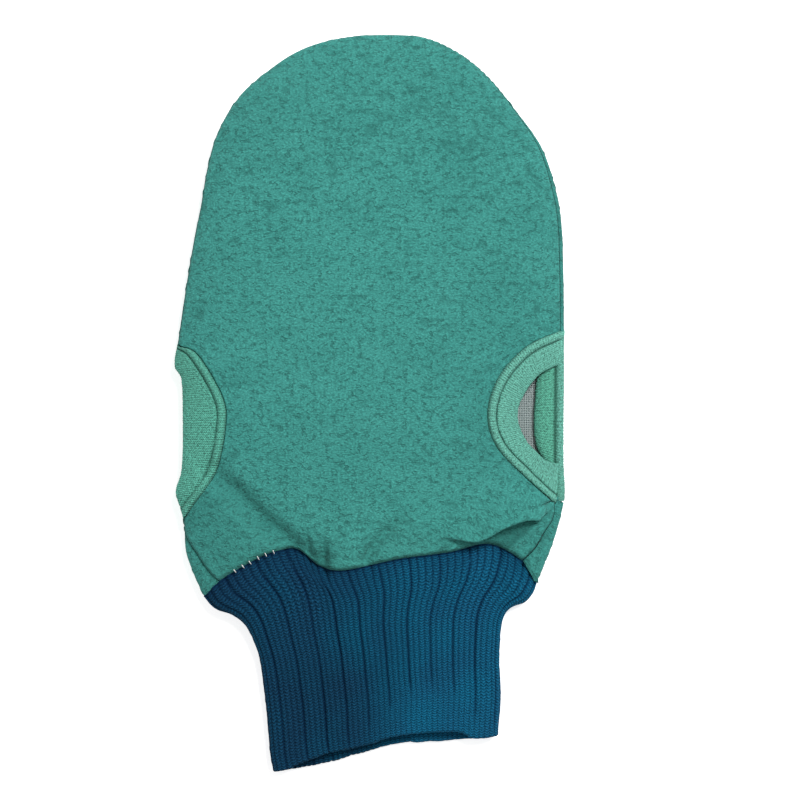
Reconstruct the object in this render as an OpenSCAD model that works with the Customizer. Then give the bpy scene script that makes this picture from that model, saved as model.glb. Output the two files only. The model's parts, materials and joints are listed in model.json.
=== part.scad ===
// Fingerless cloth mitt lying flat on its back panel: two crepe panels with mesh linings, a bound
// thumb hole on each side, and a rib-knit cuff that folds up over the front about the wrist join.
// +X runs across the hand, +Y to the fingertips, +Z up from the surface it lies on.

/* [Overall] */
// Length from the fingertip end to the lowest corner of the cuff
mitt_l = 285; // [275:1:295]
// Width across the thumb holes
mitt_w = 151.2; // [146:0.2:156]
// Height of the hand part at its fullest
mitt_t = 15; // [14:0.5:17]

/* [Hand part] */
// Distance from the fingertip end to the cuff join
hand_l = 200.2; // [196:0.2:204]
// Thickness of the crepe cloth of a panel
panel_t = 1.8; // [1.4:0.1:2]
// Thickness of the woven mesh lining
lining_t = 0.8; // [0.6:0.1:1]
// How far the fingertip arch stands to the right of the middle
apex_x = 5; // [0:0.5:8]
// Half the width of the nearly straight stretch at the top of the arch
tip_half = 9; // [8:0.5:11]

/* [Thumb holes] */
// Half the length of a thumb hole's binding along the side
hole_half_l = 33.3; // [31:0.1:35]
// Reach of the front right binding in from the side
front_right_reach = 31.5; // [29:0.5:33]
// Reach of the back right binding in from the side
back_right_reach = 19.5; // [18.5:0.5:22]
// Reach of the front left binding in from the side
front_left_reach = 21.5; // [19.5:0.5:24]
// Reach of the back left binding in from the side
back_left_reach = 28.5; // [26:0.5:31]
// Width of a binding from its welt to the edge of the hole
binding_w = 12; // [11:0.5:12.5]

/* [Cuff] */
// Height of the flattened cuff
cuff_t = 12; // [11:0.5:12]
// Thickness of the doubled rib knit
cuff_wall = 2.4; // [2:0.1:2.6]
// Width of the cuff at the wrist edge
wrist_w = 86; // [80:1:92]
// Width of the cuff across its shoulders
shoulder_w = 128; // [124:1:130]

/* [Hidden] */

// Colours
crepe = [0.27, 0.58, 0.55];
knit_edge = [0.36, 0.64, 0.57];
mesh_grey = [0.62, 0.60, 0.60];
rib_blue = [0.08, 0.28, 0.39];
dark_thread = [0.16, 0.42, 0.39];
white_thread = [0.92, 0.93, 0.90];

// Places along Y
tip_y = mitt_l / 2;
join_y = tip_y - hand_l;
gap = 0.3;
fold_r = cuff_t / 2;
hinge_y = join_y - fold_r - gap;
hinge_z = fold_r;
lobe_drop = 6;
lobe_y = hinge_y - lobe_drop;
lobe_x = 52;
shoulder_drop = 8.3;
shoulder_y = hinge_y - shoulder_drop;

// Side outline
side_x = mitt_w / 2;
arch_right_y = 50;
arch_right_power = 1.8;
arch_left_y = 60;
arch_left_power = 2.1;
slant = 0.19;
slant_y = 22;
corner_y = -38;
corner_l = 38;
corner_in = 13;
corner_power = 1.7;

// Heights
rim_gap = 0.5;
front_base = hinge_z + rim_gap;
back_base = hinge_z - rim_gap;
front_rise = mitt_t - front_base;
cuff_rise = 5.8;
puff_y = 70;
puff_l = 60;
flat_share = 1.25;
lining_d = panel_t + gap;
panel_span = 0.995;
lining_span = 0.97;
binding_t = lining_d + lining_t;

// Thumb holes
hole_x = side_x + 2;
right_hole_y = -4.8;
left_hole_y = -11;
facing_l = 14;
edge_margin = binding_t + 0.6;

// Facets
cols = 16;
rows = 18;
crowd = 80;
arc_steps = 20;
ring_n = 32;

function lerp(a, b, t) = a + (b - a) * t;
function clamp01(t) = min(1, max(0, t));
function smooth(t) = let(c = clamp01(t)) c * c * (3 - 2 * c);
function fade(t, p) = sqrt(max(0, 1 - pow(max(0, t), p)));

// ---- Plan outline of the hand part ----
function corner_cut(y) = corner_in * pow(max(0, (corner_y - y) / corner_l), corner_power);
function right_x(y) =
    apex_x + tip_half
    + (side_x - apex_x - tip_half) * fade((y - arch_right_y) / (tip_y - arch_right_y), arch_right_power)
    - corner_cut(y);
function left_x(y) =
    apex_x - tip_half
    - (side_x + apex_x - tip_half - slant * max(0, min(y, arch_left_y) - slant_y))
      * fade((y - arch_left_y) / (tip_y - arch_left_y), arch_left_power)
    + corner_cut(y);

// ---- Cross-section of the hand part: u is -1 at the left side and 1 at the right ----
function across(x, y, d) = 2 * (x - left_x(y) - d) / (right_x(y) - left_x(y) - 2 * d) - 1;
function rise(y) =
    lerp(cuff_rise, front_rise, smooth((y - join_y) / puff_l)) * fade((y - puff_y) / (tip_y - puff_y), 3);
function front_z(u, y, d) = front_base + rise(y) * (1 - d / front_rise) * fade(abs(u), 3);
function back_z(u, y, d) =
    back_base - (back_base - d)
    * min(1, flat_share * fade(abs(u), 4) * min(1, flat_share * fade((y - puff_y) / (tip_y - puff_y), 4)));
function skin_z(front, u, y, d) = front ? front_z(u, y, d) : back_z(u, y, d);

// One point of a panel or lining, d inside the outer face, with v from the cuff to the fingertips
function panel_point(front, u, v, d, low_y) =
    let(y = lerp(low_y, tip_y, v))
    [lerp(left_x(y) + d, right_x(y) - d, (u + 1) / 2), y - d * v, skin_z(front, u, y, d)];

// The grid spans the given share of the width and the length, closer together towards the rims
function panel_grid(front, d, low_y, span) = [
    for (r = [0:rows]) [
        for (c = [0:cols])
            panel_point(front, span * sin(crowd * (2 * c / cols - 1)) / sin(crowd),
                        span * sin(crowd * r / rows) / sin(crowd), d, low_y)
    ]
];

// ---- Polyhedra from grids ----
function flat(lists) = [for (l = lists) each l];
function quad(a, b, c, d) = [[a, b, c], [a, c, d]];

// Closed plate between two grids, each a list of rows from low to high Y, running from low to high X
module plate(top, bottom) {
    r_n = len(top) - 1;
    c_n = len(top[0]) - 1;
    under = len(top) * len(top[0]);
    function id(r, c) = r * (c_n + 1) + c;
    faces = flat([
        for (r = [0:r_n - 1]) for (c = [0:c_n - 1]) quad(id(r, c), id(r + 1, c), id(r + 1, c + 1), id(r, c + 1)),
        for (r = [0:r_n - 1]) for (c = [0:c_n - 1])
            quad(under + id(r, c), under + id(r, c + 1), under + id(r + 1, c + 1), under + id(r + 1, c)),
        for (c = [0:c_n - 1]) quad(id(0, c), id(0, c + 1), under + id(0, c + 1), under + id(0, c)),
        for (c = [0:c_n - 1]) quad(id(r_n, c + 1), id(r_n, c), under + id(r_n, c), under + id(r_n, c + 1)),
        for (r = [0:r_n - 1]) quad(id(r + 1, 0), id(r, 0), under + id(r, 0), under + id(r + 1, 0)),
        for (r = [0:r_n - 1]) quad(id(r, c_n), id(r + 1, c_n), under + id(r + 1, c_n), under + id(r, c_n))
    ]);
    polyhedron(concat(flat(top), flat(bottom)), faces, convexity = 6);
}

// Closed tube between two stacks of rings, listed from high to low Y
module ring_tube(outer, inner) {
    s_n = len(outer) - 1;
    n = len(outer[0]);
    under = len(outer) * n;
    function id(s, k) = s * n + k % n;
    faces = flat([
        for (s = [0:s_n - 1]) for (k = [0:n - 1]) quad(id(s, k), id(s, k + 1), id(s + 1, k + 1), id(s + 1, k)),
        for (s = [0:s_n - 1]) for (k = [0:n - 1])
            quad(under + id(s, k), under + id(s + 1, k), under + id(s + 1, k + 1), under + id(s, k + 1)),
        for (k = [0:n - 1]) quad(id(0, k), under + id(0, k), under + id(0, k + 1), id(0, k + 1)),
        for (k = [0:n - 1]) quad(id(s_n, k), id(s_n, k + 1), under + id(s_n, k + 1), under + id(s_n, k))
    ]);
    polyhedron(concat(flat(outer), flat(inner)), faces, convexity = 6);
}

// ---- Panels and linings ----
module skin(front, d, t, low_y, span) {
    outer = panel_grid(front, d, low_y, span);
    inner = panel_grid(front, d + t, low_y, span);
    plate(front ? outer : inner, front ? inner : outer);
}

// The half-moon cut out of one side for a thumb hole
module hole_cut(side, hole_y, reach) {
    translate([side * hole_x, hole_y, -1])
        linear_extrude(mitt_t + 2)
            polygon([
                for (k = [0:2 * arc_steps - 1])
                    let(a = 180 * k / arc_steps)
                    [(reach + gap) * cos(a), (hole_half_l + gap) * sin(a)]
            ]);
}

module panel_with_holes(front, d, t, low_y, span, right_reach, left_reach) {
    difference() {
        skin(front, d, t, low_y, span);
        hole_cut(1, right_hole_y, right_reach);
        hole_cut(-1, left_hole_y, left_reach);
        // The cuff's width is left free between the two lower corners
        translate([-lobe_x - gap, lobe_y - 1, -1])
            cube([2 * (lobe_x + gap), join_y - lobe_y + 1, mitt_t + 2]);
    }
}

module front_panel() {
    color(crepe) panel_with_holes(true, 0, panel_t, lobe_y, panel_span, front_right_reach, front_left_reach);
}

module back_panel() {
    color(crepe) panel_with_holes(false, 0, panel_t, lobe_y, panel_span, back_right_reach, back_left_reach);
}

module front_lining() {
    color(mesh_grey)
        panel_with_holes(true, lining_d, lining_t, join_y, lining_span, front_right_reach, front_left_reach);
}

module back_lining() {
    color(mesh_grey)
        panel_with_holes(false, lining_d, lining_t, join_y, lining_span, back_right_reach, back_left_reach);
}

// ---- Thumb-hole bindings ----
// Distance in from the welt's outer curve, and depth below the cloth's face: welt, groove, facing
BINDING_SECTION = [[0, 0.4], [0.8, 0.05], [2.2, 0.05], [2.6, 0.9], [3.4, 0.9], [3.8, 0.3], [binding_w, 0.3]];
// The same for the thread that lies in the groove
THREAD_SECTION = [[2.7, 0.25], [3.3, 0.25]];
thread_t = 0.55;

// Point at fraction f along a half-moon curve that lies w in from the welt's outer curve
function arc_xy(side, hole_y, reach, w, f) =
    let(
        a = reach - w,
        b = hole_half_l - w * facing_l / binding_w,
        end = acos(min(0.98, (hole_x - side_x + edge_margin) / a)),
        angle = lerp(-end, end, f)
    )
    [side * (hole_x - a * cos(angle)), hole_y + b * sin(angle)];

function binding_row(front, side, hole_y, reach, section, thick, f) = [
    for (p = side > 0 ? section : [for (k = [len(section) - 1:-1:0]) section[k]])
        let(
            xy = arc_xy(side, hole_y, reach, p[0], f),
            d = thick == undef ? binding_t : p[1] + thick
        )
        [
            [xy[0], xy[1], skin_z(front, across(xy[0], xy[1], p[1]), xy[1], p[1])],
            [xy[0], xy[1], skin_z(front, across(xy[0], xy[1], d), xy[1], d)]
        ]
];

// A strip along a half-moon, from its own section. Without thick it is as deep as the whole binding.
module half_moon(front, side, hole_y, reach, section, thick = undef) {
    table = [
        for (k = [0:arc_steps]) binding_row(front, side, hole_y, reach, section, thick, k / arc_steps)
    ];
    outer = [for (row = table) [for (p = row) p[0]]];
    inner = [for (row = table) [for (p = row) p[1]]];
    plate(front ? outer : inner, front ? inner : outer);
}

module right_front_binding() {
    color(knit_edge) half_moon(true, 1, right_hole_y, front_right_reach, BINDING_SECTION);
}

module right_back_binding() {
    color(knit_edge) half_moon(false, 1, right_hole_y, back_right_reach, BINDING_SECTION);
}

module left_front_binding() {
    color(knit_edge) half_moon(true, -1, left_hole_y, front_left_reach, BINDING_SECTION);
}

module left_back_binding() {
    color(knit_edge) half_moon(false, -1, left_hole_y, back_left_reach, BINDING_SECTION);
}

module right_front_topstitch() {
    color(dark_thread) half_moon(true, 1, right_hole_y, front_right_reach, THREAD_SECTION, thread_t);
}

module right_back_topstitch() {
    color(dark_thread) half_moon(false, 1, right_hole_y, back_right_reach, THREAD_SECTION, thread_t);
}

module left_front_topstitch() {
    color(dark_thread) half_moon(true, -1, left_hole_y, front_left_reach, THREAD_SECTION, thread_t);
}

module left_back_topstitch() {
    color(dark_thread) half_moon(false, -1, left_hole_y, back_left_reach, THREAD_SECTION, thread_t);
}

// ---- Side seams: thread between the rims of the two panels ----
seam_t = 0.8;
seam_d = [0.3, 1.4];
seam_steps = 24;

// Band between two distances inside one side's outline, from y0 up to y1
function side_path(side, d, y0, y1) = [
    for (k = [0:seam_steps])
        let(y = lerp(y0, y1, sin(90 * k / seam_steps)))
        [side > 0 ? right_x(y) - d : left_x(y) + d, y - d * max(0, y) / tip_y]
];
function reversed(list) = [for (k = [len(list) - 1:-1:0]) list[k]];

module seam_band(points) {
    translate([0, 0, hinge_z - seam_t / 2]) linear_extrude(seam_t) polygon(points);
}

module side_seam_thread() {
    right_low = right_hole_y + hole_half_l + 1;
    left_low = left_hole_y + hole_half_l + 1;
    color(dark_thread) seam_band(concat(
        side_path(1, seam_d[0], right_low, tip_y),
        reversed(side_path(-1, seam_d[0], left_low, tip_y)),
        side_path(-1, seam_d[1], left_low, tip_y),
        reversed(side_path(1, seam_d[1], right_low, tip_y))
    ));
}

module lower_seam_thread(side, hole_y) {
    top = hole_y - hole_half_l - 1;
    low = lobe_y + 0.5;
    color(dark_thread) seam_band(concat(
        side_path(side, seam_d[0], low, top),
        reversed(side_path(side, seam_d[1], low, top))
    ));
}

module right_lower_seam_thread() { lower_seam_thread(1, right_hole_y); }

module left_lower_seam_thread() { lower_seam_thread(-1, left_hole_y); }

// ---- Rib cuff ----
wrist_right = 50;
wrist_slope = 0.18;
wrist_step = 3;
neck_left = 9;
neck_right = 1.5;
flare_l = 12;
wrist_y = -tip_y + wrist_slope * (wrist_w - wrist_right) + wrist_step / 2;
neck_y = shoulder_y - 4 - flare_l;
CUFF_Y = [hinge_y, hinge_y - 3, shoulder_y, shoulder_y - 4, shoulder_y - 7, shoulder_y - 10, shoulder_y - 13,
          neck_y, lerp(neck_y, wrist_y, 0.3), lerp(neck_y, wrist_y, 0.65), wrist_y];

function flare(y) = smooth((y - neck_y) / flare_l);
function cuff_left(y) =
    let(t = clamp01((y - wrist_y) / (neck_y - wrist_y)))
    lerp(wrist_right - wrist_w - neck_left * t, -shoulder_w / 2, flare(y));
function cuff_right(y) =
    let(t = clamp01((y - wrist_y) / (neck_y - wrist_y)))
    lerp(wrist_right + neck_right * t, shoulder_w / 2, flare(y));
function rounded(t) = sign(t) * pow(abs(t), 0.42);

// One point of the tube: the hinge end is a round nose about the fold, the wrist end is slanted
function cuff_point(s, k, wall) =
    let(
        y = CUFF_Y[s],
        a = 360 * k / ring_n,
        mid = (cuff_left(y) + cuff_right(y)) / 2,
        half = (cuff_right(y) - cuff_left(y)) / 2 - wall,
        x = mid + half * rounded(cos(a)),
        dz = (fold_r - wall) * rounded(sin(a)),
        nose = s == 0 ? sqrt(max(0, fold_r * fold_r - dz * dz)) : 0,
        end = clamp01((neck_y - y) / (neck_y - wrist_y)) * (wrist_slope * x + wrist_step * dz / fold_r)
    )
    [x, y + nose + end, hinge_z + dz];

function cuff_rings(wall) = [for (s = [0:len(CUFF_Y) - 1]) [for (k = [0:ring_n - 1]) cuff_point(s, k, wall)]];

module rib_cuff() {
    color(rib_blue) difference() {
        ring_tube(cuff_rings(0), cuff_rings(cuff_wall));
        for (side = [-1, 1])
            translate([side > 0 ? lobe_x : -lobe_x - 20, shoulder_y, -1])
                cube([20, fold_r - shoulder_y, cuff_t + 2]);
    }
}

// ---- Threads at the cuff join ----
stitch_n = 6;
stitch_pitch = 3;
stitch_d = 0.7;
stitch_l = 2;
first_stitch_x = -51.3;

// White stitches that show along the left part of the join, each lying on the front panel's end
module cuff_join_thread() {
    color(white_thread) for (k = [0:stitch_n - 1]) {
        x = first_stitch_x + stitch_pitch * k;
        y = join_y + 0.3;
        z = front_z(across(x, y, 0), y, 0) + stitch_d / 2 + 0.1;
        translate([x, y, z]) rotate([-90, 0, 0]) cylinder(h = stitch_l, d = stitch_d, $fn = 24);
    }
}

// Overlock chain on the inside of the cuff, along the cloth of both faces
overlock_t = 0.5;
overlock_w = 2;
overlock_gap = 0.5;
overlock_half = lobe_x - 4;

module cuff_overlock_thread() {
    face_z = fold_r - cuff_wall - overlock_gap;
    color(white_thread) for (up = [-1, 1])
        translate([
            -overlock_half,
            hinge_y - overlock_w / 2,
            hinge_z + up * face_z - (up > 0 ? overlock_t : 0)
        ])
            cube([2 * overlock_half, overlock_w, overlock_t]);
}

front_panel();
back_panel();
front_lining();
back_lining();
right_front_binding();
right_back_binding();
left_front_binding();
left_back_binding();
right_front_topstitch();
right_back_topstitch();
left_front_topstitch();
left_back_topstitch();
side_seam_thread();
right_lower_seam_thread();
left_lower_seam_thread();
rib_cuff();
cuff_join_thread();
cuff_overlock_thread();
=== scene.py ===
import json
import math

import bpy
import numpy as np
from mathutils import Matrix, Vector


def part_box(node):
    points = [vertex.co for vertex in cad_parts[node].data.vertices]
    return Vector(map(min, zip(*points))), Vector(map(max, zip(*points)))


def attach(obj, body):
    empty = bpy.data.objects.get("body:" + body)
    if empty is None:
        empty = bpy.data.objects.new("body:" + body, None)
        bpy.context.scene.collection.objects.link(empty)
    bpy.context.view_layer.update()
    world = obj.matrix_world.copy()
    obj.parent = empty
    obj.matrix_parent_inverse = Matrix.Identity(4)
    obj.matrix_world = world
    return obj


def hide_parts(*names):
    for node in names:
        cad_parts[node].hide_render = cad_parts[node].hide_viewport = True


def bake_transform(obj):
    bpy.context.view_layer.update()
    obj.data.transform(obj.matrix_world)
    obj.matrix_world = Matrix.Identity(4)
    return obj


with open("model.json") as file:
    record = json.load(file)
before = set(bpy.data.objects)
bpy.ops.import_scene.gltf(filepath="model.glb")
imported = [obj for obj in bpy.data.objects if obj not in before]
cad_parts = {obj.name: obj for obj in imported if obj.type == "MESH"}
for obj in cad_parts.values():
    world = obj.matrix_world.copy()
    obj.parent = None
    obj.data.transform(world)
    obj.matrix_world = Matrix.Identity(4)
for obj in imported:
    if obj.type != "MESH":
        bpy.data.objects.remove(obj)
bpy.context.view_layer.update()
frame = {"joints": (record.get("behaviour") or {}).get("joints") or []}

MM = 0.001


def lerp(a, b, t):
    return a + (b - a) * t


def clamp(t):
    return np.clip(t, 0.0, 1.0)


def smooth(t):
    t = clamp(t)
    return t * t * (3 - 2 * t)


def gauss(distance, width):
    return np.exp(-((distance / width) ** 2))


def fade(t, power):
    """Falls from 1 at t = 0 to 0 at t = 1, round at the end."""
    return np.sqrt(np.maximum(0.0, 1 - np.maximum(0.0, t) ** power))


def together(*parts):
    """Arrays of coordinates as one array of points."""
    return np.stack(parts, axis=-1)


# ---- Driving sizes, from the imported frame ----
def node_box(name):
    low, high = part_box(name)
    return np.array(low) / MM, np.array(high) / MM


JOINT = frame["joints"][0]
HINGE_Y, HINGE_Z = JOINT["pos_m"][1] / MM, JOINT["pos_m"][2] / MM
TIP_ROLL = 1.06
TIP_Y = node_box("front_panel")[1][1] + TIP_ROLL
MITT_T = node_box("front_panel")[1][2]
CUFF_T = node_box("rib_cuff")[1][2]

FRONT_BASE = HINGE_Z + 0.5
BACK_BASE = HINGE_Z - 0.5
FRONT_RISE = MITT_T - FRONT_BASE
CUFF_END_RISE = 5.8
JOIN_Y = HINGE_Y + CUFF_T / 2 + 0.3
PUFF_Y = 70.0
PUFF_L = 60.0


# ---- Curves through a few points ----
def through(points, n=240):
    """Smooth curve through the points, as n points evenly spaced along it."""
    p = np.array(points, float)
    p = np.vstack([2 * p[0] - p[1], p, 2 * p[-1] - p[-2]])
    out = []
    for k in range(1, len(p) - 2):
        t = np.linspace(0, 1, 40, endpoint=False)[:, None]
        a, b, c, d = p[k - 1], p[k], p[k + 1], p[k + 2]
        cubic = (2 * a - 5 * b + 4 * c - d) * t**2 + (3 * b - a - 3 * c + d) * t**3
        out.append(0.5 * (2 * b + (c - a) * t + cubic))
    out.append(p[-2][None, :])
    return even(np.vstack(out), n)


def lengths(points):
    """Length from the first point to each point, along each row where the points are a grid."""
    step = np.linalg.norm(np.diff(points, axis=-2), axis=-1)
    start = np.zeros((*step.shape[:-1], 1))
    return np.concatenate([start, np.cumsum(step, axis=-1)], axis=-1)


def even(line, n):
    """The same line with n points evenly spaced along it."""
    line = np.asarray(line, float)
    along = lengths(line)
    at = np.linspace(0, along[-1], n)
    return np.stack([np.interp(at, along, line[:, k]) for k in range(line.shape[1])], axis=1)


def point_at(curve, t):
    """Coordinates at fraction t of a curve whose points are evenly spaced."""
    at = t * (len(curve) - 1)
    return np.array([np.interp(at, np.arange(len(curve)), part) for part in curve.T])


def y_to_x(curve):
    """Function that gives the x of a curve at a y."""
    xs, ys = curve[np.argsort(curve[:, 1])].T
    return lambda y: np.interp(y, ys, xs)


def x_to_y(curve):
    xs, ys = curve[np.argsort(curve[:, 0])].T
    return lambda x: np.interp(x, xs, ys)


def distance(x, y, curve):
    """Distance of each point from a curve in the plane, and how far along the curve it is, 0 to 1."""
    shape = np.shape(x)
    px, py = np.ravel(x), np.ravel(y)
    best = np.full(px.shape, 1e9)
    where = np.zeros(px.shape)
    for k, (cx, cy) in enumerate(curve):
        d = (px - cx) ** 2 + (py - cy) ** 2
        closer = d < best
        best[closer] = d[closer]
        where[closer] = k / (len(curve) - 1)
    return np.sqrt(best).reshape(shape), where.reshape(shape)


# Outlines of the hand part, from the fingertip end down to the cuff. x is read against the square
# root of the distance from the fingertip end, which keeps the arch round.
def outline(points):
    p = np.array(points, float)
    root = np.sqrt(TIP_Y - p[:, 1])
    curve = through(together(p[:, 0], root), 600)
    xs, roots = curve.T
    return lambda y: np.interp(np.sqrt(np.maximum(0, TIP_Y - np.asarray(y, float))), roots, xs)


TIP_X = 6.0
left_x = outline([
    (TIP_X, TIP_Y), (-6, 141.9), (-24.5, 137.5), (-40, 128), (-50, 119), (-58.5, 105), (-62.6, 91),
    (-65, 77), (-67.8, 63), (-71.6, 40), (-73.6, 26), (-75.3, 15), (-72.6, 9), (-72.1, -8), (-72.5, -25),
    (-74.8, -33.5), (-73.3, -39.4), (-71.6, -46), (-70.9, -57), (-67.8, -66), (-64.3, -74.5),
])
right_x = outline([
    (TIP_X, TIP_Y), (18, 141.9), (30.7, 137.5), (44, 128), (56, 114), (66, 100), (71, 86.5),
    (74, 72), (75, 49), (75.2, 15), (75, -20), (75.5, -34), (74, -43), (71.3, -52.5), (67.8, -62),
    (64.5, -69),
])

# Seam of the front panel to the back panel, where it runs inside the outline near the cuff
LEFT_SEAM = through([(-71.8, -44), (-70.6, -51), (-66.6, -57.4), (-62.8, -63), (-58, -68.4)])
RIGHT_SEAM = through([(71.6, -38), (70.9, -44), (67.7, -49.3), (64.3, -55.2), (59.2, -60.4)])
# Line along which the cuff meets the front panel
FRONT_JOIN = through([
    (-64.3, -74.5), (-58, -68.4), (-50, -63.3), (-41.5, -58.7), (-34.6, -56.4), (-27.6, -56.2),
    (-19.9, -62.2), (-13.3, -64), (-5.6, -63.3), (11.8, -59.5), (31, -57), (44, -54), (52, -56),
    (59, -60.6), (65, -66),
])
# Outer curves of the bindings' welts and inner curves of their facings
RIGHT_WELT = through([
    (74.9, 28.3), (61.2, 22), (50.2, 10.2), (45.8, -4), (49.4, -16.6), (60.4, -28.4), (71.4, -38.2),
])
RIGHT_EDGE = through([
    (74.4, 15.5), (69.3, 13.4), (65, 10.8), (60.4, 5), (57.5, -1), (57.3, -7), (60.4, -14), (64.2, -18.2),
    (68, -21.6), (74, -23.4),
])
LEFT_WELT = through([
    (-73.7, 22.2), (-66.4, 18.7), (-57, 3), (-55.6, -8), (-59.5, -26), (-69, -40), (-71.8, -44.3),
])
# Edge of the fold that hangs over the cuff's right half
OVERHANG = through([(11.8, -59.7), (39.6, -54.4), (52, -48.5), (60.3, -45.6), (66, -45.8), (71, -47)])
# Creases of the front panel
LEFT_VALLEY = through([(-60, -25), (-54, -31.5), (-43, -42.5), (-31, -53), (-21, -61)], 60)
SOFT_VALLEY = through([(-1.3, -60), (3, -53), (10, -45.5), (17, -40)], 60)
RECESS_RIDGE = through([(52, -57), (57.5, -52), (63.5, -46.5)], 40)

front_join_y = x_to_y(FRONT_JOIN)
overhang_y = x_to_y(OVERHANG)
left_seam_x = y_to_x(LEFT_SEAM)
right_seam_x = y_to_x(RIGHT_SEAM)


# ---- Repeatable noise ----
def noise(x, y, seed):
    """Smooth random field from -1 to 1 over a lattice of unit cells."""
    table = np.random.default_rng(seed).uniform(-1, 1, (256, 256))
    i, j = np.floor(x).astype(int), np.floor(y).astype(int)
    fx, fy = smooth(x - i), smooth(y - j)

    def corner(a, b):
        return table[(i + a) % 256, (j + b) % 256]

    return lerp(lerp(corner(0, 0), corner(1, 0), fx), lerp(corner(0, 1), corner(1, 1), fx), fy)


FURROW_L = 4.0
FURROW_PITCH = 1.6


def furrows(x, y, density):
    """Crepe's short cross furrows, 0 to 1: the winding zero lines of a stretched noise, broken up."""
    bend = 0.9 * noise(x / 9, y / 5, 11)
    field = noise(x / FURROW_L + bend, y / FURROW_PITCH + 1.3 * bend, 12)
    field = field + 0.45 * noise(x / 2.3, y / 0.95, 13)
    patch = noise(x / 3.6, y / 2.4, 14) + 0.3 * noise(x / 23, y / 17, 16)
    return gauss(field, 0.26) * smooth((patch + density) / 0.6)


def lumps(x, y):
    return noise(x / 2.4, y / 1.7, 15) + 0.5 * noise(x / 1.3, y / 1.2, 17)


# ---- Heights of the two faces of the hand part ----
def across(x, y):
    low, high = left_x(y), right_x(y)
    return clamp((x - low) / np.maximum(0.001, high - low)) * 2 - 1


def tip_fade(y, power):
    return fade(np.maximum(0, y - PUFF_Y) / (TIP_Y - PUFF_Y), power)


def front_z(x, y):
    """Plain front face, before creases."""
    rise = lerp(CUFF_END_RISE, FRONT_RISE, smooth((y - JOIN_Y) / PUFF_L)) * tip_fade(y, 3)
    z = FRONT_BASE + rise * fade(np.abs(across(x, y)), 3)
    pressed = 2.6 * np.exp(-(((x - 68) / 17) ** 2) - ((y + 5) / 24) ** 2)
    return z - pressed * smooth((z - FRONT_BASE) / 3)


def back_z(x, y):
    flat = np.minimum(1, 1.25 * fade(np.abs(across(x, y)), 4) * np.minimum(1, 1.25 * tip_fade(y, 4)))
    return BACK_BASE * (1 - flat)


# Folds of the front panel near the cuff. Depths, heights and half widths are in millimetres
CREASE_MAX = 5.5
VALLEY_DEPTH, VALLEY_W = 4.6, 3.6
PILLOW_RISE, PILLOW_SINK = 3.2, 2.4
# The pillow lies below this line, which runs along the left valley
PILLOW_X, PILLOW_Y, PILLOW_SLOPE = -57.0, -29.0, -0.96
PUCKER_X = -17.5
# Place across, depth, half width, the y at which it starts, and the length in which it deepens
PUCKERS = [(PUCKER_X, 3.4, 1.9, -50, 8), (-23.5, 1.8, 1.3, -49, 6)]
SOFT_DEPTH, SOFT_W = 2.8, 2.2
# Middle, half widths and height
BULGES = [(19, -49, 15, 8, 1.8), (-7, -55, 9, 6, 1.2)]
SWELL = 0.5


def below_pillow_line(x, y):
    """Millimetres below the pillow's upper edge."""
    return PILLOW_Y + PILLOW_SLOPE * (x - PILLOW_X) - y


def creases(x, y):
    """Change of height that the folds near the cuff make in the front panel."""
    near, along = distance(x, y, LEFT_VALLEY)
    dz = -VALLEY_DEPTH * gauss(near, VALLEY_W) * (smooth(along / 0.25) * 0.6 + 0.4)
    below = smooth(below_pillow_line(x, y) / 9) * smooth((-14 - x) / 20)
    dz += PILLOW_RISE * below * smooth((near - 2) / 5) - PILLOW_SINK * below
    for at_x, depth, half_w, from_y, run in PUCKERS:
        dz -= depth * gauss(x - at_x, half_w) * smooth((from_y - y) / run)
    near, along = distance(x, y, SOFT_VALLEY)
    dz -= SOFT_DEPTH * gauss(near, SOFT_W) * (1 - smooth((along - 0.45) / 0.55))
    for at_x, at_y, half_x, half_y, height in BULGES:
        dz += height * gauss(np.hypot((x - at_x) / half_x, (y - at_y) / half_y), 1.0)
    dz = np.where(dz < 0, -CREASE_MAX * np.tanh(-dz / CREASE_MAX), dz)
    return dz + SWELL * noise(x / 31, y / 22, 21) * smooth((60 - np.abs(x)) / 30)


# ---- Meshes from grids ----
def scene_object(name, data):
    obj = bpy.data.objects.new(name, data)
    bpy.context.scene.collection.objects.link(obj)
    return obj


def mesh_object(name, points, quads, uvs, material):
    """Object from points in millimetres. uvs maps a UV map's name to one pair for each quad corner."""
    mesh = bpy.data.meshes.new(name)
    mesh.from_pydata((points * MM).tolist(), [], quads.tolist())
    for uv_name, pairs in uvs.items():
        layer = mesh.uv_layers.new(name=uv_name)
        layer.data.foreach_set("uv", np.asarray(pairs, np.float32).ravel())
    mesh.polygons.foreach_set("use_smooth", np.ones(len(quads), bool))
    mesh.materials.append(material)
    mesh.update()
    return scene_object(name, mesh)


def grid_quads(rows, cols, flip=False, wrap=False):
    """Four point numbers for each face. A wrapped grid uses its first column again as its last."""
    at = np.arange(rows * cols).reshape(rows, cols)
    if wrap:
        at = np.hstack([at, at[:, :1]])
    quads = together(at[:-1, :-1], at[:-1, 1:], at[1:, 1:], at[1:, :-1]).reshape(-1, 4)
    return quads[:, ::-1] if flip else quads


def grid_object(name, points, material, cloth, tone=None, flip=False, wrap=False):
    """Sheet from a grid of points. cloth is each point's place on the flat cloth, and tone a pair of
    values that the material reads. A wrapped grid's last column is the same as its first."""
    rows, cols = points.shape[:2]
    quads = grid_quads(rows, cols, flip)
    uvs = {"Cloth": cloth.reshape(-1, 2)[quads].reshape(-1, 2)}
    if tone is not None:
        uvs["Tone"] = tone.reshape(-1, 2)[quads].reshape(-1, 2)
    if wrap:
        quads = grid_quads(rows, cols - 1, flip, wrap=True)
        points = points[:, :-1]
    return mesh_object(name, points.reshape(-1, 3), quads, uvs, material)


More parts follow.
